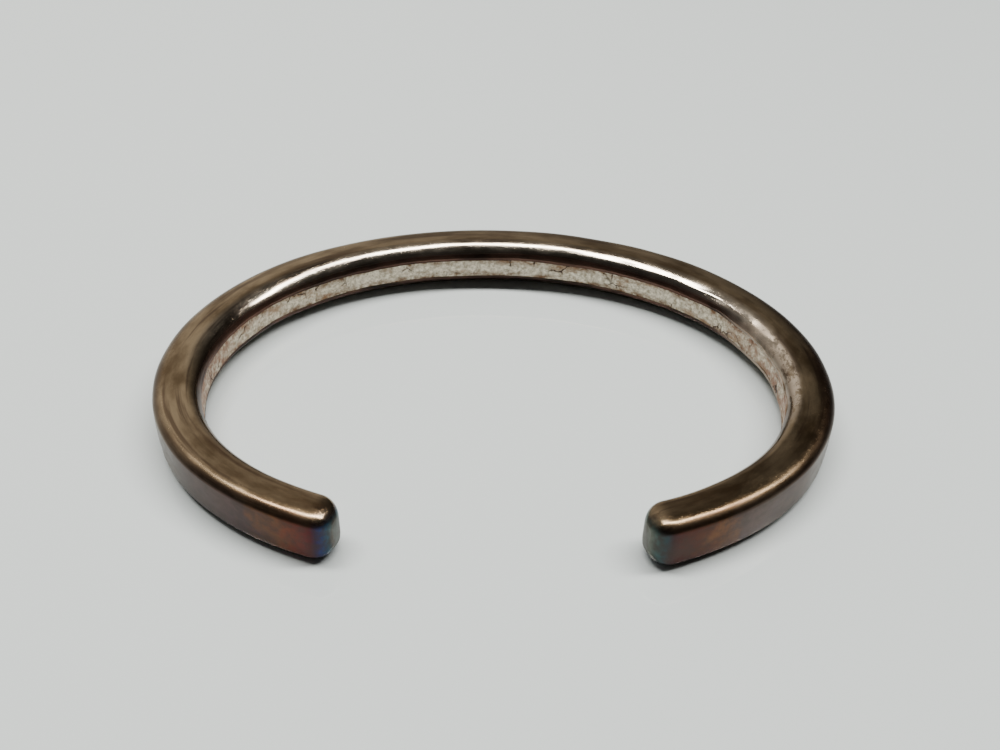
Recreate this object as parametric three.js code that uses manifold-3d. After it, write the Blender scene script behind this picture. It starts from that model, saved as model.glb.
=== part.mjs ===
// Open cuff bangle, lying flat on its lower edge. Millimetres, +Z up.
// It is fabricated hollow: a sheet channel is bent round the wrist, a flat strip closes the channel's
// mouth on the wrist side, and a rounded cap closes each end. Hard solder runs along every joint.
// The gap for the wrist faces -Y. The origin is on the table, under the middle of the footprint.

import * as THREE from 'three';
import { mergeVertices } from 'three/addons/utils/BufferGeometryUtils.js';
import Module from 'manifold-3d';

// ---- driving dimensions ----

const HALF_WIDTH = 31; // middle of the bangle to the centre line, across the wrist
const HALF_DEPTH = 22.2; // the same, front to back
const SIDE_DRAW_IN = 0.37; // how much flatter the sides are than an ellipse
const BACK_BULGE = 0.6; // how much fuller the back is
const END_ANGLE = 2.635; // radians from the middle of the back to where the sheet is cut

const THICKNESS = 4.75; // wrist side to outer side, at the back
const END_THINNING = 0.865; // what is left of that at the ends
const THINNING_FROM = 0.5; // how far along each arm it starts to fall off, from 0 at the back to 1
const HEIGHT = 5.4; // lower edge to upper edge
const INNER_CORNER = 1.6; // radius of the corners on the wrist side
const OUTER_CORNER = 1.3; // and of the ones on the outer side
const WALL = 0.9; // sheet thickness

const STRIP_HEIGHT = 2; // the flat strip on the wrist side
const SEAM_WIDTH = 0.3; // from the strip's edge to the channel's lip
const SEAM_RECESS = 0.04; // solder lies this far below the wrist face
const FIT = 0.02; // clearance between solder and sheet

const CAP_LENGTH = 2; // the rounded end piece, along the arm
const CAP_ROUNDING = 1.7; // length over which its front edge rounds
const CAP_DRAW_IN = 1.1; // how far that edge draws in
const VENT_DIAMETER = 0.8; // lets hot gas out of the hollow during soldering
const VENT_FROM_BACK = 2.3; // radians from the middle of the back

const SWEEP_STEPS = 64;
const CORNER_STEPS = 3;
const CAP_STEPS = 5;

// ---- centre line ----

class CuffLine extends THREE.Curve {
  getPoint(t, target = new THREE.Vector3()) {
    const angle = (2 * t - 1) * END_ANGLE;
    return target.set(
      HALF_WIDTH * Math.sin(angle) + SIDE_DRAW_IN * Math.sin(3 * angle),
      HALF_DEPTH * Math.cos(angle) + BACK_BULGE * Math.cos(2 * angle),
      0,
    );
  }
}

const cuffLine = new CuffLine();

// ---- sections: x is down the height, y is outwards from the wrist ----

const wristFace = -THICKNESS / 2;

// The four rounded corners of a section whose outline lies `inset` inside the outer surface. `mouth`
// is half the height left open on the wrist side, and 0 leaves none.
function addCorners(path, inset, mouth, backwards = false) {
  const inner = INNER_CORNER - inset;
  const outer = OUTER_CORNER - inset;
  const innerX = HEIGHT / 2 - INNER_CORNER;
  const innerY = wristFace + INNER_CORNER;
  const outerX = HEIGHT / 2 - OUTER_CORNER;
  const outerY = THICKNESS / 2 - OUTER_CORNER;
  const start = mouth > innerX ? -Math.acos((mouth - innerX) / inner) : -Math.PI / 2;
  const corners = [
    [innerX, innerY, inner, start, 0],
    [outerX, outerY, outer, 0, Math.PI / 2],
    [-outerX, outerY, outer, Math.PI / 2, Math.PI],
    [-innerX, innerY, inner, Math.PI, Math.PI - start],
  ];
  if (backwards) corners.reverse();
  for (const [x, y, radius, from, to] of corners) {
    if (backwards) path.absarc(x, y, radius, to, from, true);
    else path.absarc(x, y, radius, from, to, false);
  }
  return path;
}

function channelSection() {
  const mouth = STRIP_HEIGHT / 2 + SEAM_WIDTH;
  const section = new THREE.Shape();
  addCorners(section, 0, mouth);
  addCorners(section, WALL, mouth, true);
  return section;
}

function rectangleSection(lowX, highX, lowY, highY) {
  const section = new THREE.Shape();
  section.moveTo(lowX, lowY);
  section.lineTo(highX, lowY);
  section.lineTo(highX, highY);
  section.lineTo(lowX, highY);
  return section;
}

function outlineSection() {
  return addCorners(new THREE.Shape(), 0, 0);
}

function wallSection() {
  const section = outlineSection();
  section.holes.push(addCorners(new THREE.Path(), WALL, 0, true));
  return section;
}

// ---- solids ----

const wasm = await Module();
wasm.setup();

function toSolid(geometry) {
  const bare = geometry.clone();
  bare.deleteAttribute('normal');
  bare.deleteAttribute('uv');
  const merged = mergeVertices(bare);
  return new wasm.Manifold(new wasm.Mesh({
    numProp: 3,
    vertProperties: new Float32Array(merged.attributes.position.array),
    triVerts: new Uint32Array(merged.index.array),
  }));
}

function toGeometry(solid) {
  const mesh = solid.getMesh();
  const geometry = new THREE.BufferGeometry();
  geometry.setAttribute('position', new THREE.BufferAttribute(mesh.vertProperties, 3));
  geometry.setIndex(new THREE.BufferAttribute(mesh.triVerts, 1));
  geometry.computeVertexNormals();
  return geometry;
}

// Away from the wrist, square to the cuff line.
function outwardAt(t) {
  return new THREE.Vector3(0, 0, 1).cross(cuffLine.getTangent(t));
}

function thinningAt(t) {
  const alongArm = Math.abs(2 * t - 1);
  return 1 - (1 - END_THINNING) * THREE.MathUtils.smoothstep(alongArm, THINNING_FROM, 1);
}

// A straight bar of the section, bent onto the cuff line and thinned towards its ends.
function bentBar(section) {
  const bar = new THREE.ExtrudeGeometry(section, {
    depth: 1,
    steps: SWEEP_STEPS,
    curveSegments: CORNER_STEPS,
    bevelEnabled: false,
  });
  const spots = bar.attributes.position;
  for (let i = 0; i < spots.count; i += 1) {
    const t = spots.getZ(i);
    const spot = cuffLine.getPoint(t).addScaledVector(outwardAt(t), spots.getY(i) * thinningAt(t));
    spots.setXYZ(i, spot.x, spot.y, -spots.getX(i));
  }
  bar.computeVertexNormals();
  return bar;
}

// The vent is drilled square through the strip, from the wrist side.
function ventedStrip() {
  const strip = bentBar(rectangleSection(
    -STRIP_HEIGHT / 2, STRIP_HEIGHT / 2, wristFace, wristFace + WALL,
  ));
  const t = (1 - VENT_FROM_BACK / END_ANGLE) / 2;
  const tangent = cuffLine.getTangent(t);
  const drill = new THREE.CylinderGeometry(VENT_DIAMETER / 2, VENT_DIAMETER / 2, 2 * THICKNESS, 16);
  drill.rotateZ(Math.atan2(tangent.y, tangent.x));
  const middle = cuffLine.getPoint(t);
  drill.translate(middle.x, middle.y, middle.z);
  return toGeometry(toSolid(strip).subtract(toSolid(drill)));
}

// A cap is filed from thick plate: the full section at its flat back, its front edge rounded over.
// It is the front half of a section rounded at both faces.
function capGeometry() {
  const blank = new THREE.ExtrudeGeometry(outlineSection(), {
    depth: 2 * (CAP_LENGTH - CAP_ROUNDING),
    steps: 2,
    curveSegments: CORNER_STEPS,
    bevelThickness: CAP_ROUNDING,
    bevelSize: CAP_DRAW_IN,
    bevelOffset: -CAP_DRAW_IN,
    bevelSegments: CAP_STEPS,
  });
  blank.translate(0, 0, -(CAP_LENGTH - CAP_ROUNDING));
  const cutter = new THREE.BoxGeometry(3 * HEIGHT, 3 * HEIGHT, 3 * HEIGHT);
  cutter.translate(0, 0, -1.5 * HEIGHT);
  return toGeometry(toSolid(blank).subtract(toSolid(cutter))).scale(1, END_THINNING, 1);
}

function solderRingGeometry() {
  return new THREE.ExtrudeGeometry(wallSection(), {
    depth: SEAM_WIDTH - 2 * FIT,
    curveSegments: CORNER_STEPS,
    bevelEnabled: false,
  }).scale(1, END_THINNING, 1);
}

// ---- materials ----

const metal = (color, roughness) => new THREE.MeshStandardMaterial({ color, roughness, metalness: 1 });
const patinatedSilver = metal(0x8f806c, 0.22);
const unpolishedSilver = metal(0xb3a698, 0.6);
const heatTintedSilver = metal(0x6f6a64, 0.3);
const silverSolder = metal(0xb9b2a4, 0.35);

function piece(name, geometry, material) {
  const mesh = new THREE.Mesh(geometry, material);
  mesh.name = name;
  return mesh;
}

// ---- the bangle ----

const bangle = new THREE.Group();

bangle.add(piece('outer_channel', bentBar(channelSection()), patinatedSilver));
bangle.add(piece('inner_strip', ventedStrip(), unpolishedSilver));

for (const [name, side] of [['upper_solder_seam', -1], ['lower_solder_seam', 1]]) {
  const edges = [STRIP_HEIGHT / 2 + FIT, STRIP_HEIGHT / 2 + SEAM_WIDTH - FIT].map((x) => side * x);
  const section = rectangleSection(
    Math.min(...edges), Math.max(...edges), wristFace + SEAM_RECESS, wristFace + WALL,
  );
  bangle.add(piece(name, bentBar(section), silverSolder));
}

// Each end group stands on the cut sheet, with its z axis pointing out along the arm and its y axis
// outwards from the wrist.
for (const [side, t] of [['left', 0], ['right', 1]]) {
  const end = new THREE.Group();
  const out = cuffLine.getTangent(t).multiplyScalar(t === 0 ? -1 : 1);
  const outward = outwardAt(t);
  const across = new THREE.Vector3().crossVectors(outward, out);
  end.quaternion.setFromRotationMatrix(new THREE.Matrix4().makeBasis(across, outward, out));
  end.position.copy(cuffLine.getPoint(t));

  const ring = piece(`${side}_cap_solder`, solderRingGeometry(), silverSolder);
  ring.position.z = FIT;
  const cap = piece(`${side}_end_cap`, capGeometry(), heatTintedSilver);
  cap.position.z = SEAM_WIDTH;
  end.add(ring, cap);
  bangle.add(end);
}

// The lower edge rests on the table, and the footprint is centred on the origin.
const footprint = new THREE.Box3().setFromObject(bangle, true);
bangle.position.set(0, -(footprint.min.y + footprint.max.y) / 2, HEIGHT / 2);

export default bangle;
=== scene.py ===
"""An open cuff bangle in tarnished silver, lying flat on a pale glossy table."""

import math

import bmesh
import bpy
from mathutils import Matrix, Vector, noise


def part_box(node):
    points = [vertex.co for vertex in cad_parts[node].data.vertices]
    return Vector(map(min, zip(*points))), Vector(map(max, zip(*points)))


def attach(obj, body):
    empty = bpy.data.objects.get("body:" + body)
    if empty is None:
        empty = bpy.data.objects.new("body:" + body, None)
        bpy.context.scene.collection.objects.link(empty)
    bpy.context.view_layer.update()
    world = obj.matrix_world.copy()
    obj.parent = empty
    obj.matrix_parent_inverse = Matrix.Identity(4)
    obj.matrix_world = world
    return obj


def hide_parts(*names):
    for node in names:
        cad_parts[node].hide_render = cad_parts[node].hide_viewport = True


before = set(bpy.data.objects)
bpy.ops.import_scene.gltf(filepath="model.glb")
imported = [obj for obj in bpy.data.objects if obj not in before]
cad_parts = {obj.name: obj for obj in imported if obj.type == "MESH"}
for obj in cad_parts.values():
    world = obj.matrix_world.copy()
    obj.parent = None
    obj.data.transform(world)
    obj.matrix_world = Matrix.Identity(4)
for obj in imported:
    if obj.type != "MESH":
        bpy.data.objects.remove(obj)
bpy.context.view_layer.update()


# ---- The bent channel ----
# Sterling sheet folded to a C, bent round an oval mandrel and polished. It makes the outer face,
# both edges and the lips on the wrist side. Wear and planishing have left it slightly uneven,
# tarnish has turned it a warm brown, and soldering has tinted its ends.

MM = 0.001  # every size below is in millimetres
THICKNESS = 4.75  # wrist side to outer side, at the back
END_THINNING = 0.865  # what is left of it at the ends
THINNING_FROM = 0.5  # part of the way along each arm
WALL = 0.9  # sheet thickness
MOUTH = 1.3  # half of the height left open on the wrist side

INNER_UP = 1.6  # wrist-side corners, up the height
INNER_ACROSS = 2.2  # and across the top, at the back
ARM_ACROSS = 1.3  # and across the top, on the arms
ARM_FROM = 30  # where the back gives way to the arms, along the bar
ARM_TO = 58
OUTER_UP = 0.75  # outer corners
OUTER_ACROSS = 1.15
INNER_ROUNDS = 26  # faces round each corner
OUTER_ROUNDS = 16
CROWN = 0.3  # how far a face's edges fall below its middle

DENT_DEPTH = 0.09
DENT_LENGTH = 5
BEAD_HEIGHT = 0.035  # a bead of stray solder along the right wrist-side corners
BEAD_Y = -1.6
BEAD_WIDTH = 0.16
SEAM_STRAY = 0.13  # how far the seams wander
SEAM_JITTER = 0.05

HALF_DEPTH = 22.2  # the oval that the middle of the section follows
SIDE_DRAW_IN = 0.37  # flatter sides than an ellipse
BACK_BULGE = 0.6  # and a fuller back
END_ANGLE = 2.635  # radians from the middle of the back to the cut end
BAR_PER_RADIAN = 28.9
PIECES_ALONG = 420

channel_low, channel_high = [Vector(corner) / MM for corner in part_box("outer_channel")]
height = channel_high.z - channel_low.z
half_width = channel_high.x - THICKNESS / 2 + SIDE_DRAW_IN
back_y = channel_high.y - THICKNESS / 2
wrist_face = -THICKNESS / 2
sheet_end = END_ANGLE * BAR_PER_RADIAN


def centre_line(angle):
    """The middle of the bangle's section on the table, in millimetres."""
    across = half_width * math.sin(angle) + SIDE_DRAW_IN * math.sin(3 * angle)
    forward = HALF_DEPTH * (math.cos(angle) - 1) + BACK_BULGE * (math.cos(2 * angle) - 1)
    return Vector((across, back_y + forward, 0))


def ease(value, low, high):
    """Goes softly from 0 at `low` to 1 at `high`."""
    part = max(0, min(1, (value - low) / (high - low)))
    return part * part * (3 - 2 * part)


def bend_round(bm):
    """Bends a straight bar, along X with its outer face towards +Y, round the wrist.

    It is thinned towards both ends. Each vertex keeps where it was on the bar, for the finishes."""
    on_bar = bm.verts.layers.float_vector.new("bar")
    for vert in bm.verts:
        vert[on_bar] = vert.co
        along = max(-sheet_end, min(sheet_end, vert.co.x))
        angle = along / BAR_PER_RADIAN
        ahead = (centre_line(angle + 0.001) - centre_line(angle - 0.001)).normalized()
        outward = Vector((-ahead.y, ahead.x, 0))
        thinning = 1 - (1 - END_THINNING) * ease(abs(angle) / END_ANGLE, THINNING_FROM, 1)
        middle = centre_line(angle) + ahead * (vert.co.x - along)
        vert.co = middle + outward * vert.co.y * thinning + Vector((0, 0, vert.co.z + height / 2))


def slice_at(bm, axis, places):
    """Cuts a mesh right through, square to an axis, at each of the places."""
    for place in places:
        bmesh.ops.bisect_plane(
            bm, geom=bm.verts[:] + bm.edges[:] + bm.faces[:], dist=0.0001,
            plane_co=axis * place, plane_no=axis,
        )


def bar_shell(start, end):
    """A straight open tube along X with the bangle's rounded section."""
    bm = bmesh.new()
    bmesh.ops.create_cube(bm, size=1)
    bmesh.ops.scale(bm, vec=(end - start, THICKNESS, height), verts=bm.verts)
    bmesh.ops.translate(bm, vec=((start + end) / 2, 0, 0), verts=bm.verts)
    bm.normal_update()
    ends = [face for face in bm.faces if abs(face.normal.x) > 0.5]
    bmesh.ops.delete(bm, geom=ends, context="FACES")
    for side, up, across, steps in (
        (-1, INNER_UP, INNER_ACROSS, INNER_ROUNDS), (1, OUTER_UP, OUTER_ACROSS, OUTER_ROUNDS),
    ):
        edge_y = side * THICKNESS / 2
        corners = [
            edge for edge in bm.edges
            if abs(edge.verts[0].co.x - edge.verts[1].co.x) > (end - start) / 2
            and all(abs(vert.co.y - edge_y) < 0.001 for vert in edge.verts)
            and all(abs(abs(vert.co.z) - height / 2) < 0.001 for vert in edge.verts)
        ]
        bmesh.ops.bevel(
            bm, geom=corners, offset=up, offset_type="OFFSET", segments=steps, profile=0.5,
            affect="EDGES", material=-1,
        )
        for vert in bm.verts:
            if abs(vert.co.y - edge_y) < up + 0.001:
                vert.co.y = edge_y + (vert.co.y - edge_y) * across / up
    slice_at(bm, Vector((0, 1, 0)), (0.2, 0.5, 0.8, 1.05))
    slice_at(bm, Vector((0, 0, 1)), (-1, -0.5, 0, 0.5, 1))
    return bm


def round_faces(bm):
    """Crowns the faces slightly, and makes the corners on the wrist side tighter along the arms."""
    for vert in bm.verts:
        on_arm = ease(abs(vert.co.x), ARM_FROM, ARM_TO)
        from_wrist = vert.co.y - wrist_face
        if from_wrist < INNER_ACROSS + 0.001:
            vert.co.y = wrist_face + from_wrist * (1 - on_arm * (1 - ARM_ACROSS / INNER_ACROSS))
        part_out = vert.co.y / (THICKNESS / 2)
        part_up = vert.co.z / (height / 2)
        outer_crown = CROWN * (0.6 + 0.4 * on_arm)
        crown = outer_crown if part_out > 0 else CROWN * (1 - on_arm)
        vert.co.z -= crown * part_out ** 2 * part_up
        vert.co.y -= 0.3 * CROWN * part_up ** 2 * max(0, part_out)


def cut_along(bm, pieces):
    """Cuts a bar's long edges into many short ones, ready to be bent."""
    longest = max(edge.calc_length() for edge in bm.edges)
    long_edges = [edge for edge in bm.edges if edge.calc_length() > longest * 0.9]
    bmesh.ops.subdivide_edges(bm, edges=long_edges, cuts=pieces - 1)


def knocked(along):
    """1 along the right side, where file and hammer left facets, and 0 elsewhere."""
    return ease(along, 20, 30) * ease(along, 62, 50)


def uneven(bm, depth, length):
    """Draws the surface in by up to `depth`, in soft hollows about `length` across."""
    bm.normal_update()
    for vert in bm.verts:
        fall = 0.5 + 0.5 * noise.noise(vert.co / length)
        if vert.co.y < 0:
            fall += knocked(vert.co.x) * (0.5 + 0.5 * noise.noise(vert.co * 3 / length))
        vert.co -= vert.normal * depth * max(0, fall)


def wander(along, side):
    """How far the upper or the lower seam strays from straight."""
    place = Vector((along / 6, 5 * side, 0))
    coarse = SEAM_STRAY * (1 + knocked(along)) * noise.noise(place)
    return coarse + SEAM_JITTER * noise.noise(place * 4)


def finish_piece(bm, name, finish, sharp=40):
    """Puts a finished mesh in the scene, in metres, as part of the one rigid body."""
    bmesh.ops.scale(bm, vec=(MM, MM, MM), verts=bm.verts)
    for face in bm.faces:
        face.smooth = True
    mesh = bpy.data.meshes.new(name)
    bm.to_mesh(mesh)
    bm.free()
    mesh.set_sharp_from_angle(angle=math.radians(sharp))
    mesh.materials.append(finish)
    piece = bpy.data.objects.new(name, mesh)
    bpy.context.collection.objects.link(piece)
    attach(piece, "root")
    return piece


def add_node(tree, kind, inputs=None, **settings):
    """A shader node, with its settings, and its inputs linked or given values."""
    made = tree.nodes.new(kind)
    for key, value in settings.items():
        setattr(made, key, value)
    for key, value in (inputs or {}).items():
        if isinstance(value, bpy.types.NodeSocket):
            tree.links.new(value, made.inputs[key])
        else:
            made.inputs[key].default_value = value
    return made


def new_group(name, inputs, outputs):
    """An empty node group with named sockets, each given as (name, type)."""
    tree = bpy.data.node_groups.new(name, "ShaderNodeTree")
    for label, kind in inputs:
        tree.interface.new_socket(name=label, in_out="INPUT", socket_type=kind)
    for label, kind in outputs:
        tree.interface.new_socket(name=label, in_out="OUTPUT", socket_type=kind)
    return tree, tree.nodes.new("NodeGroupInput"), tree.nodes.new("NodeGroupOutput")


def spots(tree, place, stretch, low, high, **noise_inputs):
    """Soft patches that go from 0 to 1, drawn out along the bar by `stretch`."""
    moved = add_node(tree, "ShaderNodeMapping", {"Vector": place, "Scale": stretch})
    grain = add_node(tree, "ShaderNodeTexNoise", {"Vector": moved.outputs[0], **noise_inputs})
    return add_node(
        tree, "ShaderNodeMapRange",
        {"Value": grain.outputs["Fac"], "From Min": low, "From Max": high},
        interpolation_type="SMOOTHSTEP",
    ).outputs["Result"]


def mix_colours(tree, amount, first, second):
    """Two colours mixed, each a socket or a plain colour."""
    mixed = add_node(tree, "ShaderNodeMix", data_type="RGBA")
    for label, value in (("Factor", amount), ("A", first), ("B", second)):
        socket = next(one for one in mixed.inputs if one.name == label and one.enabled)
        if isinstance(value, bpy.types.NodeSocket):
            tree.links.new(value, socket)
        else:
            socket.default_value = value
    return next(one for one in mixed.outputs if one.enabled)


def maths(tree, operation, *values):
    """One sum on up to three values, each a socket or a number."""
    return add_node(tree, "ShaderNodeMath", dict(enumerate(values)), operation=operation).outputs[0]


def fade(tree, value, low, high):
    """Softly from 0 where the value is `low` to 1 where it is `high`."""
    return add_node(
        tree, "ShaderNodeMapRange", {"Value": value, "From Min": low, "From Max": high},
        interpolation_type="SMOOTHSTEP",
    ).outputs["Result"]


def product(tree, *values):
    """Several values multiplied together."""
    whole = values[0]
    for value in values[1:]:
        whole = maths(tree, "MULTIPLY", whole, value)
    return whole


# Fine scratches from wear and from the polishing cloth, mostly along the bar, with small pits.
scratches, group_in, group_out = new_group(
    "Fine scratches", [("Bar", "NodeSocketVector")],
    [("Height", "NodeSocketFloat"), ("Wear", "NodeSocketFloat")],
)
bar = group_in.outputs["Bar"]
hairlines = spots(scratches, bar, (0.12, 9, 9), 0.55, 0.8, Scale=2, Detail=3, Roughness=0.7)
crossed = add_node(scratches, "ShaderNodeMapping", {"Vector": bar, "Rotation": (0.3, 0.5, 0.8)})
stray = spots(scratches, crossed.outputs[0], (0.3, 6, 6), 0.62, 0.7, Scale=1.3, Detail=2)
pits = spots(scratches, bar, (1, 1, 1), 0.66, 0.74, Scale=4, Detail=2)
dips = maths(scratches, "MAXIMUM", product(scratches, stray, 0.8), pits)
marks = maths(scratches, "MAXIMUM", hairlines, dips)
scratches.links.new(product(scratches, marks, -1), group_out.inputs["Height"])
cloudy = spots(scratches, bar, (0.5, 1, 1), 0.35, 0.7, Scale=0.7, Detail=4, Roughness=0.65)
split = add_node(scratches, "ShaderNodeSeparateXYZ", {"Vector": bar})
outer_wear = product(scratches, fade(scratches, split.outputs["Y"], 0.6, 1.9), 0.6)
worn = maths(scratches, "MULTIPLY_ADD", cloudy, 0.3, outer_wear)
worn = maths(scratches, "MULTIPLY_ADD", marks, 0.25, worn)
lip_wear = product(scratches, fade(scratches, split.outputs["Y"], -1.7, -2.25), 0.9)
worn = maths(scratches, "MAXIMUM", worn, lip_wear)
scratches.links.new(worn, group_out.inputs["Wear"])

# The metal's tarnished colour, palest where hands polish the upper inner edge at the back. It is
# brown along the sides and arms, darker on the outer face and rubbed pale inside the right outer
# edge. A painted dark reflection makes the right outer edge nearly black, and painted shade makes
# the lips beside the strip near black between red-brown tarnished patches.
BROWN = (0.13, 0.086, 0.046, 1)
TAN = (0.36, 0.27, 0.17, 1)
GREY_SILVER = (0.34, 0.30, 0.25, 1)
CLEAN_SILVER = (0.55, 0.51, 0.45, 1)
STREAK_BROWN = (0.07, 0.04, 0.025, 1)
OUTER_BROWN = (0.075, 0.052, 0.038, 1)
PAINTED_DARK_REFLECTION = (0.035, 0.016, 0.011, 1)
RUBBED_SILVER = (0.54, 0.45, 0.36, 1)
SEAM_AND_LIP_SHADE_BLACK = (0.012, 0.009, 0.008, 1)
SEAM_BROWN = (0.12, 0.062, 0.045, 1)

tarnish_and_painted_shade, group_in, group_out = new_group(
    "Tarnish and painted shade", [("Bar", "NodeSocketVector")],
    [("Color", "NodeSocketColor"), ("Rubbed", "NodeSocketFloat")],
)
bar = group_in.outputs["Bar"]
split = add_node(tarnish_and_painted_shade, "ShaderNodeSeparateXYZ", {"Vector": bar})
along_bar = split.outputs["X"]
outwards = split.outputs["Y"]
near_back = fade(tarnish_and_painted_shade, maths(tarnish_and_painted_shade, "ABSOLUTE", along_bar), 50, 26)
clean = product(tarnish_and_painted_shade, fade(tarnish_and_painted_shade, outwards, -0.2, -1.5), near_back)
patches = spots(tarnish_and_painted_shade, bar, (0.3, 1, 1), 0.3, 0.7, Scale=0.45, Detail=5, Roughness=0.6)
browned = mix_colours(tarnish_and_painted_shade, patches, BROWN, TAN)
silvered = mix_colours(tarnish_and_painted_shade, patches, GREY_SILVER, CLEAN_SILVER)
colour = mix_colours(tarnish_and_painted_shade, clean, browned, silvered)
streaks = spots(tarnish_and_painted_shade, bar, (0.07, 1.4, 1.4), 0.5, 0.7, Scale=1.1, Detail=4)
colour = mix_colours(tarnish_and_painted_shade, product(tarnish_and_painted_shade, streaks, 0.7), colour, STREAK_BROWN)
outer_face = product(tarnish_and_painted_shade, fade(tarnish_and_painted_shade, outwards, 1.1, 2.1), 0.6)
colour = mix_colours(tarnish_and_painted_shade, outer_face, colour, OUTER_BROWN)
# Painted dark reflection: the right outer edge is made nearly black, for the dark side of the room
# that it faces.
right_side = product(tarnish_and_painted_shade, fade(tarnish_and_painted_shade, along_bar, 20, 36), fade(tarnish_and_painted_shade, along_bar, 66, 52))
right_edge = product(tarnish_and_painted_shade, right_side, fade(tarnish_and_painted_shade, outwards, 0.5, 1.6), 0.85)
colour = mix_colours(tarnish_and_painted_shade, right_edge, colour, PAINTED_DARK_REFLECTION)
on_right = product(tarnish_and_painted_shade, fade(tarnish_and_painted_shade, along_bar, 26, 36), fade(tarnish_and_painted_shade, along_bar, 60, 46))
smeared = spots(tarnish_and_painted_shade, bar, (0.5, 1, 1), 0.38, 0.56, Scale=0.8, Detail=6, Roughness=0.7)
rubbed = product(tarnish_and_painted_shade, on_right, smeared, fade(tarnish_and_painted_shade, outwards, -0.7, -1.4))
colour = mix_colours(tarnish_and_painted_shade, rubbed, colour, RUBBED_SILVER)
tarnish_and_painted_shade.links.new(rubbed, group_out.inputs["Rubbed"])
# Along the wrist-side lips and seams: red-brown tarnished patches and near black, weaker on the
# right. The near black on the lips is painted shade.
kept_dark = maths(tarnish_and_painted_shade, "MULTIPLY_ADD", on_right, -0.6, 1)
at_lip = product(tarnish_and_painted_shade, fade(tarnish_and_painted_shade, outwards, -1.6, -2.15), 0.97, kept_dark)
lip_stain_and_shade = mix_colours(tarnish_and_painted_shade, patches, SEAM_AND_LIP_SHADE_BLACK, SEAM_BROWN)
tarnish_and_painted_shade.links.new(mix_colours(tarnish_and_painted_shade, at_lip, colour, lip_stain_and_shade), group_out.inputs["Color"])

# Heat colours left by soldering the caps, in bands given by their distance from each tip.
CAP_SOLDER = 0.3
CAP_LENGTH = 2
tip = sheet_end + CAP_SOLDER + CAP_LENGTH
TINT_REACH = 28
TINT_DRIFT = 9  # how unevenly the bands run
LEFT_TINTS = (
    (0.0, (0.075, 0.09, 0.08)), (0.04, (0.05, 0.085, 0.085)), (0.15, (0.022, 0.08, 0.11)),
    (0.6, (0.016, 0.04, 0.13)), (1.1, (0.03, 0.018, 0.06)), (1.5, (0.085, 0.012, 0.018)),
    (3.6, (0.14, 0.035, 0.016)), (5.4, (0.13, 0.055, 0.026)), (7.6, (0.07, 0.04, 0.042)),
    (11.0, (0.085, 0.05, 0.045)), (18.0, (0.075, 0.048, 0.038)), (26.0, (0.11, 0.08, 0.058)),
)
RIGHT_TINTS = (
    (0.0, (0.10, 0.115, 0.095)), (0.06, (0.085, 0.105, 0.09)), (0.4, (0.04, 0.085, 0.085)),
    (0.9, (0.03, 0.06, 0.07)), (1.5, (0.045, 0.028, 0.032)), (2.2, (0.07, 0.018, 0.016)),
    (4.6, (0.085, 0.028, 0.015)), (6.8, (0.15, 0.062, 0.024)), (8.6, (0.075, 0.046, 0.042)),
    (11.6, (0.085, 0.058, 0.05)), (18.0, (0.09, 0.05, 0.036)), (26.0, (0.11, 0.08, 0.058)),
)
SCORCHED = (0.04, 0.026, 0.022, 1)

heat, group_in, group_out = new_group(
    "Heat colours", [("Bar", "NodeSocketVector")],
    [("Color", "NodeSocketColor"), ("Mask", "NodeSocketFloat")],
)
bar = group_in.outputs["Bar"]
split = add_node(heat, "ShaderNodeSeparateXYZ", {"Vector": bar})
from_tip = maths(heat, "SUBTRACT", tip, maths(heat, "ABSOLUTE", split.outputs["X"]))
cloud = add_node(
    heat, "ShaderNodeTexNoise", {"Vector": bar, "Scale": 0.55, "Detail": 5, "Roughness": 0.6},
)
drift = maths(heat, "SUBTRACT", cloud.outputs["Fac"], 0.5)
reach = product(heat, drift, fade(heat, from_tip, 0, 7))
warped = maths(heat, "MULTIPLY_ADD", reach, TINT_DRIFT, from_tip)
along = maths(heat, "DIVIDE", warped, TINT_REACH)
ramps = []
for tints in (LEFT_TINTS, RIGHT_TINTS):
    ramp = add_node(heat, "ShaderNodeValToRGB", {"Fac": along})
    while len(ramp.color_ramp.elements) < len(tints):
        ramp.color_ramp.elements.new(0.5)
    for element, (distance, tint) in zip(ramp.color_ramp.elements, tints):
        element.position = distance / TINT_REACH
        element.color = (*tint, 1)
    ramps.append(ramp.outputs["Color"])
is_right = maths(heat, "GREATER_THAN", split.outputs["X"], 0)
blotches = spots(heat, bar, (0.8, 1, 1), 0.34, 0.66, Scale=0.9, Detail=6, Roughness=0.65)
tinted = mix_colours(heat, is_right, *ramps)
scorching = maths(heat, "MULTIPLY_ADD", blotches, -0.6, 0.75)
heat.links.new(mix_colours(heat, scorching, tinted, SCORCHED), group_out.inputs["Color"])
near_tip = fade(heat, from_tip, 27, 15)
below_top = fade(heat, split.outputs["Z"], 2.4, 1.7)
strength = maths(heat, "MULTIPLY_ADD", below_top, 0.82, 0.15)
heat.links.new(product(heat, near_tip, strength), group_out.inputs["Mask"])


def use_group(tree, group, place):
    """Puts a node group in a material, reading the place on the bar."""
    used = tree.nodes.new("ShaderNodeGroup")
    used.node_tree = group
    tree.links.new(place, used.inputs["Bar"])
    return used.outputs


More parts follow.
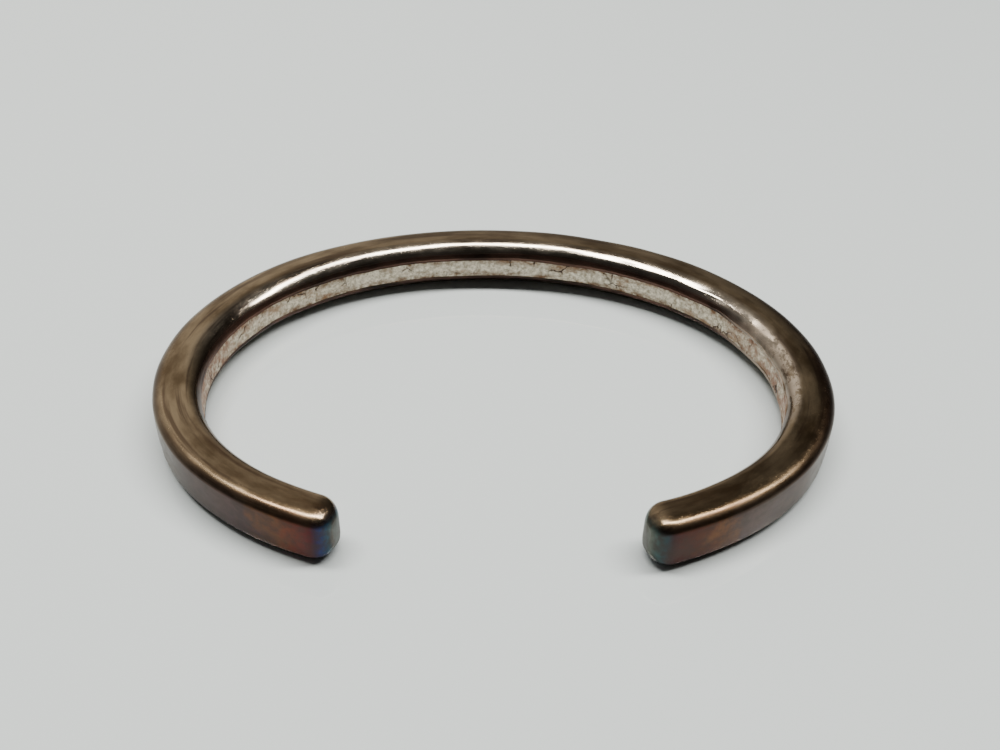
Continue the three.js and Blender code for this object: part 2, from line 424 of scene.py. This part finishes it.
def silver_finish(name, smooth, worn, scratch_depth):
    """Tarnished silver, with painted shade in parts of its colour. Its roughness runs from `smooth`
    to `worn`.
    """
    material = bpy.data.materials.new(name)
    material.use_nodes = True
    tree = material.node_tree
    surface = tree.nodes["Principled BSDF"]
    surface.inputs["Metallic"].default_value = 1
    place = add_node(tree, "ShaderNodeAttribute", attribute_name="bar").outputs["Vector"]
    heated = use_group(tree, heat, place)
    toning_and_shade = use_group(tree, tarnish_and_painted_shade, place)
    colour = mix_colours(tree, heated["Mask"], toning_and_shade["Color"], heated["Color"])
    tree.links.new(colour, surface.inputs["Base Color"])
    scratched = use_group(tree, scratches, place)
    satin = maths(tree, "MAXIMUM", product(tree, heated["Mask"], 0.9), toning_and_shade["Rubbed"])
    wear = maths(tree, "MAXIMUM", scratched["Wear"], satin)
    rough = add_node(
        tree, "ShaderNodeMapRange", {"Value": wear, "To Min": smooth, "To Max": worn},
    )
    tree.links.new(rough.outputs["Result"], surface.inputs["Roughness"])
    relief = add_node(
        tree, "ShaderNodeBump",
        {"Height": scratched["Height"], "Strength": 1, "Distance": scratch_depth * MM},
    )
    tree.links.new(relief.outputs["Normal"], surface.inputs["Normal"])
    return material


POLISHED = 0.1
SATIN = 0.4
HAIRLINE = 0.0018
patina_and_shade_finish = silver_finish("Polished tarnished silver with painted shade", POLISHED, SATIN, HAIRLINE)

bm = bar_shell(-sheet_end, sheet_end)
slice_at(bm, Vector((0, 0, 1)), (-MOUTH, MOUTH))
bm.normal_update()
mouth_faces = [
    face for face in bm.faces if face.normal.y < -0.5 and abs(face.calc_center_median().z) < MOUTH
]
bmesh.ops.delete(bm, geom=mouth_faces, context="FACES")
cut_along(bm, PIECES_ALONG)
round_faces(bm)
uneven(bm, DENT_DEPTH, DENT_LENGTH)
bm.normal_update()
for vert in bm.verts:
    if vert.co.y < wrist_face + INNER_UP:
        side = math.copysign(1, vert.co.z)
        beaded = ease(vert.co.x, 4, 14) * ease(vert.co.x, 46, 34)
        off_bead = (vert.co.y - BEAD_Y - 1.5 * wander(vert.co.x, side)) / BEAD_WIDTH
        vert.co += vert.normal * BEAD_HEIGHT * beaded * math.exp(-off_bead ** 2)
        hold = ease(abs(vert.co.z), 2.5, MOUTH)
        vert.co.z += wander(vert.co.x, side) * hold
bmesh.ops.solidify(bm, geom=bm.faces[:], thickness=WALL)
bend_round(bm)
channel = finish_piece(bm, "bent_channel", patina_and_shade_finish)
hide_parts("outer_channel")


# ---- The closing strip ----
# A flat strip of sheet soldered into the channel's mouth, against the wrist. It was never polished,
# so it keeps its rough, pitted surface from the torch, with copper stains and fine dark cracks.
# The small vent near the left end let hot gas out of the hollow while it was soldered shut.

STRIP_HEIGHT = 2.0
STRIP_PIECES = 800
STRIP_STEP = 0.2  # between the cuts along it
VENT_DIAMETER = 0.8
VENT_FROM_BACK = 2.3  # radians
vent_middle = -VENT_FROM_BACK * BAR_PER_RADIAN

STRIP_RECESS = 0.05
COARSE_ROUGHNESS = 0.03
DENTED_ROUGHNESS = 0.07  # added on the right arm
FINE_ROUGHNESS = 0.018
DARK_METAL = (0.36, 0.305, 0.225, 1)
PALE_METAL = (0.84, 0.76, 0.62, 1)
EDGE_STAIN = (0.13, 0.062, 0.028, 1)
RUST_BROWN = (0.26, 0.135, 0.06, 1)
COPPER = (0.27, 0.14, 0.09, 1)
CRACK_BROWN = (0.06, 0.035, 0.025, 1)

unpolished = bpy.data.materials.new("Unpolished silver")
unpolished.use_nodes = True
tree = unpolished.node_tree
surface = tree.nodes["Principled BSDF"]
place = add_node(tree, "ShaderNodeAttribute", attribute_name="bar").outputs["Vector"]
split = add_node(tree, "ShaderNodeSeparateXYZ", {"Vector": place})
mottle = spots(tree, place, (1, 1, 1), 0.33, 0.67, Scale=2.2, Detail=8, Roughness=0.75)
colour = mix_colours(tree, mottle, DARK_METAL, PALE_METAL)
from_middle = maths(tree, "ABSOLUTE", split.outputs["Z"])
from_edge = maths(tree, "SUBTRACT", STRIP_HEIGHT / 2, from_middle)
edge_noise = spots(tree, place, (0.6, 1, 1), 0.35, 0.65, Scale=1.1, Detail=6, Roughness=0.7)
edge_stain = product(tree, fade(tree, from_edge, 0.9, 0.0), edge_noise)
colour = mix_colours(tree, edge_stain, colour, EDGE_STAIN)
rust = spots(tree, place, (0.35, 1, 1), 0.52, 0.66, Scale=0.5, Detail=7, Roughness=0.72)
colour = mix_colours(tree, product(tree, rust, 0.75), colour, RUST_BROWN)
from_back = maths(tree, "ABSOLUTE", split.outputs["X"])
coppery = product(tree, fade(tree, from_back, 24, 42), edge_noise)
colour = mix_colours(tree, coppery, colour, COPPER)
bent = add_node(tree, "ShaderNodeTexNoise", {"Vector": place, "Scale": 1.3, "Detail": 4})
wavy = add_node(tree, "ShaderNodeVectorMath", {0: place, 1: bent.outputs["Color"]}, operation="ADD")
cells = add_node(
    tree, "ShaderNodeTexVoronoi", {"Vector": wavy.outputs[0], "Scale": 0.35},
    feature="DISTANCE_TO_EDGE",
)
crack_line = fade(tree, cells.outputs["Distance"], 0.03, 0.008)
crack_gate = spots(tree, place, (0.5, 1, 1), 0.5, 0.6, Scale=0.4)
crack = product(tree, crack_line, crack_gate)
colour = mix_colours(tree, crack, colour, CRACK_BROWN)
tree.links.new(colour, surface.inputs["Base Color"])
metal = add_node(tree, "ShaderNodeMapRange", {"Value": rust, "To Min": 0.9, "To Max": 0.45})
tree.links.new(metal.outputs["Result"], surface.inputs["Metallic"])
rough = add_node(tree, "ShaderNodeMapRange", {"Value": mottle, "To Min": 0.62, "To Max": 0.42})
tree.links.new(rough.outputs["Result"], surface.inputs["Roughness"])
grain = add_node(
    tree, "ShaderNodeTexNoise", {"Vector": place, "Scale": 5, "Detail": 6, "Roughness": 0.7},
)
pitted = maths(tree, "MULTIPLY_ADD", crack, -1, grain.outputs["Fac"])
relief = add_node(
    tree, "ShaderNodeBump", {"Height": pitted, "Strength": 1, "Distance": 0.05 * MM},
)
tree.links.new(relief.outputs["Normal"], surface.inputs["Normal"])


def flat_bar(start, end, low, high, front, back):
    """A straight bar along X with a rectangular section."""
    bm = bmesh.new()
    bmesh.ops.create_cube(bm, size=1)
    bmesh.ops.scale(bm, vec=(end - start, back - front, high - low), verts=bm.verts)
    middle = ((start + end) / 2, (front + back) / 2, (low + high) / 2)
    bmesh.ops.translate(bm, vec=middle, verts=bm.verts)
    return bm


bm = flat_bar(
    -sheet_end, sheet_end, -STRIP_HEIGHT / 2, STRIP_HEIGHT / 2, wrist_face, wrist_face + WALL,
)
cut_along(bm, STRIP_PIECES)
slice_at(bm, Vector((0, 0, 1)), [step * STRIP_STEP for step in range(-4, 5)])
vent_faces = [
    face for face in bm.faces
    if abs(face.normal.y) > 0.5
    and (face.calc_center_median() - Vector((vent_middle, face.calc_center_median().y, 0))).length
    < VENT_DIAMETER / 2
]
bmesh.ops.delete(bm, geom=vent_faces, context="FACES")
rim = [edge for edge in bm.edges if edge.is_boundary]
for vert in {vert for edge in rim for vert in edge.verts}:
    across = Vector((vert.co.x - vent_middle, 0, vert.co.z))
    across.length = VENT_DIAMETER / 2
    vert.co = Vector((vent_middle + across.x, vert.co.y, across.z))
bmesh.ops.bridge_loops(bm, edges=rim)
for vert in bm.verts:
    if abs(vert.co.z) > 0.4:
        side = math.copysign(1, vert.co.z)
        vert.co.z += wander(vert.co.x, side) * ease(abs(vert.co.z), 0.4, STRIP_HEIGHT / 2)
    if vert.co.y < wrist_face + 0.01:
        dented = ease(vert.co.x, 26, 36)
        coarse = noise.noise(vert.co / 2.2) * (COARSE_ROUGHNESS + DENTED_ROUGHNESS * dented)
        fine = noise.noise(vert.co / 0.5) * FINE_ROUGHNESS
        vert.co.y += STRIP_RECESS + coarse + fine
bend_round(bm)
strip_piece = finish_piece(bm, "closing_strip", unpolished, sharp=50)
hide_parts("inner_strip")


# ---- The solder seams ----
# Hard silver solder, drawn by the torch into the joint on each side of the strip. It has set as a
# thin, slightly sunken and uneven line, dark with old tarnish.

SEAM_WIDTH = 0.3
SEAM_FIT = 0.02
SEAM_RECESS = 0.04

soldered = silver_finish("Silver solder", 0.2, 0.45, 0.01)
for name, side in (("upper", 1), ("lower", -1)):
    near = side * (STRIP_HEIGHT / 2 + SEAM_FIT)
    far = side * (STRIP_HEIGHT / 2 + SEAM_WIDTH - SEAM_FIT)
    bm = flat_bar(
        -sheet_end, sheet_end, min(near, far), max(near, far),
        wrist_face + SEAM_RECESS, wrist_face + WALL,
    )
    cut_along(bm, STRIP_PIECES)
    slice_at(bm, Vector((0, 0, 1)), [near + (far - near) * part for part in (0.25, 0.5, 0.75)])
    for vert in bm.verts:
        if vert.co.y < wrist_face + WALL / 2:
            hollow = 1 - abs(2 * (vert.co.z - near) / (far - near) - 1)
            vert.co.y += 0.01 + 0.02 * hollow + 0.01 * noise.noise(vert.co * 1.5)
        vert.co.z += wander(vert.co.x, side)
    bend_round(bm)
    seam = finish_piece(bm, f"{name}_solder_line", soldered)
    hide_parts(f"{name}_solder_seam")


# ---- The end caps ----
# Each arm is closed by a cap filed from thick plate and hard soldered on, its front rounded over
# to a soft end. The ring of solder is filed flush. The torch has left the cap blue and grey-green.

CAP_ROUNDING = 1.95  # length over which the front rounds
ACROSS_POWER = 2.1  # 2 is an ellipse, and more is blunter
UP_POWER = 2.1
UP_DRAW_IN = 0.66  # how far the front draws in, of the height
BLUNTNESS = 0.96  # how far round the curve goes before the flat front
ROUNDING_STEP = 6  # degrees

cap_finish = silver_finish("Heat-tinted cap", POLISHED, SATIN, HAIRLINE)
filed_solder = silver_finish("Filed solder", POLISHED, SATIN, HAIRLINE)
for name, side in (("left", -1), ("right", 1)):
    back = sheet_end + CAP_SOLDER
    bm = bar_shell(min(side * sheet_end, side * back), max(side * sheet_end, side * back))
    round_faces(bm)
    uneven(bm, DENT_DEPTH, DENT_LENGTH)
    bmesh.ops.solidify(bm, geom=bm.faces[:], thickness=WALL)
    bend_round(bm)
    ring = finish_piece(bm, f"{name}_cap_solder_ring", filed_solder)
    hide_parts(f"{name}_cap_solder")

    bm = bar_shell(min(side * back, side * tip), max(side * back, side * tip))
    turns = [math.radians(turn) for turn in range(ROUNDING_STEP, 90, ROUNDING_STEP)]
    steps = [side * (tip - CAP_ROUNDING * (1 - math.sin(turn))) for turn in turns]
    slice_at(bm, Vector((1, 0, 0)), steps)
    round_faces(bm)
    uneven(bm, DENT_DEPTH, DENT_LENGTH)
    for vert in bm.verts:
        reach = BLUNTNESS * max(0, abs(vert.co.x) - (tip - CAP_ROUNDING)) / CAP_ROUNDING
        vert.co.y *= (1 - reach ** ACROSS_POWER) ** (1 / ACROSS_POWER)
        draw_in = UP_DRAW_IN * (1 - (1 - reach ** UP_POWER) ** (1 / UP_POWER))
        vert.co.z *= 1 - draw_in
    rims = [edge for edge in bm.edges if edge.is_boundary]
    ends = bmesh.ops.holes_fill(bm, edges=rims, sides=0)
    front = max(ends["faces"], key=lambda face: abs(face.calc_center_median().x))
    bmesh.ops.poke(bm, faces=[front], offset=0)
    bmesh.ops.recalc_face_normals(bm, faces=bm.faces)
    bend_round(bm)
    cap = finish_piece(bm, f"{name}_rounded_cap", cap_finish)
    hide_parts(f"{name}_end_cap")


# ---- The table ----
# A glossy pale sheet, such as a lacquered table top, that the bangle lies on. It is far larger than
# the bangle and is not part of it.

TABLE_HALF = 3  # metres

floor_mesh = bpy.data.meshes.new("table")
bm = bmesh.new()
bmesh.ops.create_grid(bm, x_segments=1, y_segments=1, size=TABLE_HALF)
bm.to_mesh(floor_mesh)
bm.free()
floor = bpy.data.objects.new("table", floor_mesh)
bpy.context.collection.objects.link(floor)
floor_finish = bpy.data.materials.new("Glossy pale table")
floor_finish.use_nodes = True
gloss = floor_finish.node_tree.nodes["Principled BSDF"]
gloss.inputs["Base Color"].default_value = (0.555, 0.615, 0.65, 1)
gloss.inputs["Roughness"].default_value = 0.03
gloss.inputs["IOR"].default_value = 1.65
floor_mesh.materials.append(floor_finish)


# ---- The light ----
# A dim room, palest towards the upper left behind the bangle, so that the polished faces have
# something to show. One long, narrow ceiling strip above lights the table and draws the highlights.

PALE_SIDE = (-0.6, 0.75, 0.28)
ROOM_GREYS = ((0.25, 0.06), (0.55, 0.16), (0.75, 0.42), (0.88, 0.7))
ROOM_DARK = (0.04, 0.037, 0.033, 1)
ROOM_PALE = (0.85, 0.82, 0.76, 1)
LAMP_SIZE = (2.3, 0.24)  # metres
LAMP_PLACE = (0.25, 0.2, 1.5)
LAMP_WATTS = 70

world = bpy.data.worlds.new("Room")
bpy.context.scene.world = world
world.use_nodes = True
tree = world.node_tree
direction = add_node(tree, "ShaderNodeTexCoord").outputs["Generated"]
towards_pale = add_node(
    tree, "ShaderNodeVectorMath", {0: direction, 1: PALE_SIDE}, operation="DOT_PRODUCT",
)
room = add_node(tree, "ShaderNodeValToRGB", {"Fac": towards_pale.outputs["Value"]})
for position, grey in ROOM_GREYS:
    element = room.color_ramp.elements.new(position)
    element.color = (grey, 0.97 * grey, 0.9 * grey, 1)
room.color_ramp.elements[0].color = ROOM_DARK
room.color_ramp.elements[-1].color = ROOM_PALE
tree.links.new(room.outputs["Color"], tree.nodes["Background"].inputs["Color"])
tree.nodes["Background"].inputs["Strength"].default_value = 1

strip = bpy.data.lights.new("Ceiling strip", "AREA")
strip.shape = "RECTANGLE"
strip.size, strip.size_y = LAMP_SIZE
strip.color = (1, 0.95, 0.86)
strip.energy = LAMP_WATTS
lamp = bpy.data.objects.new("Ceiling strip", strip)
lamp.location = LAMP_PLACE
bpy.context.collection.objects.link(lamp)


# ---- The camera ----
# It looks down across the gap from the front, near enough to show the heat colours, and is turned
# and rolled a little, as a hand would hold it.

LENS = 39.6
SENSOR_WIDTH = 36
CAMERA_DISTANCE = 114.4  # millimetres from the point that it looks at
CAMERA_TILT = 0.693  # radians
CAMERA_TURN = 0.007
CAMERA_ROLL = 0.024
AIM = Vector((0.573, 2.834, 0))

toward = Vector((
    math.sin(CAMERA_TURN) * math.cos(CAMERA_TILT),
    math.cos(CAMERA_TURN) * math.cos(CAMERA_TILT),
    -math.sin(CAMERA_TILT),
))
camera_data = bpy.data.cameras.new("Camera")
camera_data.lens = LENS
camera_data.sensor_width = SENSOR_WIDTH
camera_data.clip_start = 0.01
camera = bpy.data.objects.new("Camera", camera_data)
bpy.context.collection.objects.link(camera)
turn = toward.to_track_quat("-Z", "Y").to_matrix() @ Matrix.Rotation(CAMERA_ROLL, 3, "Z")
camera.matrix_world = Matrix.Translation((AIM - toward * CAMERA_DISTANCE) * MM) @ turn.to_4x4()
bpy.context.scene.camera = camera
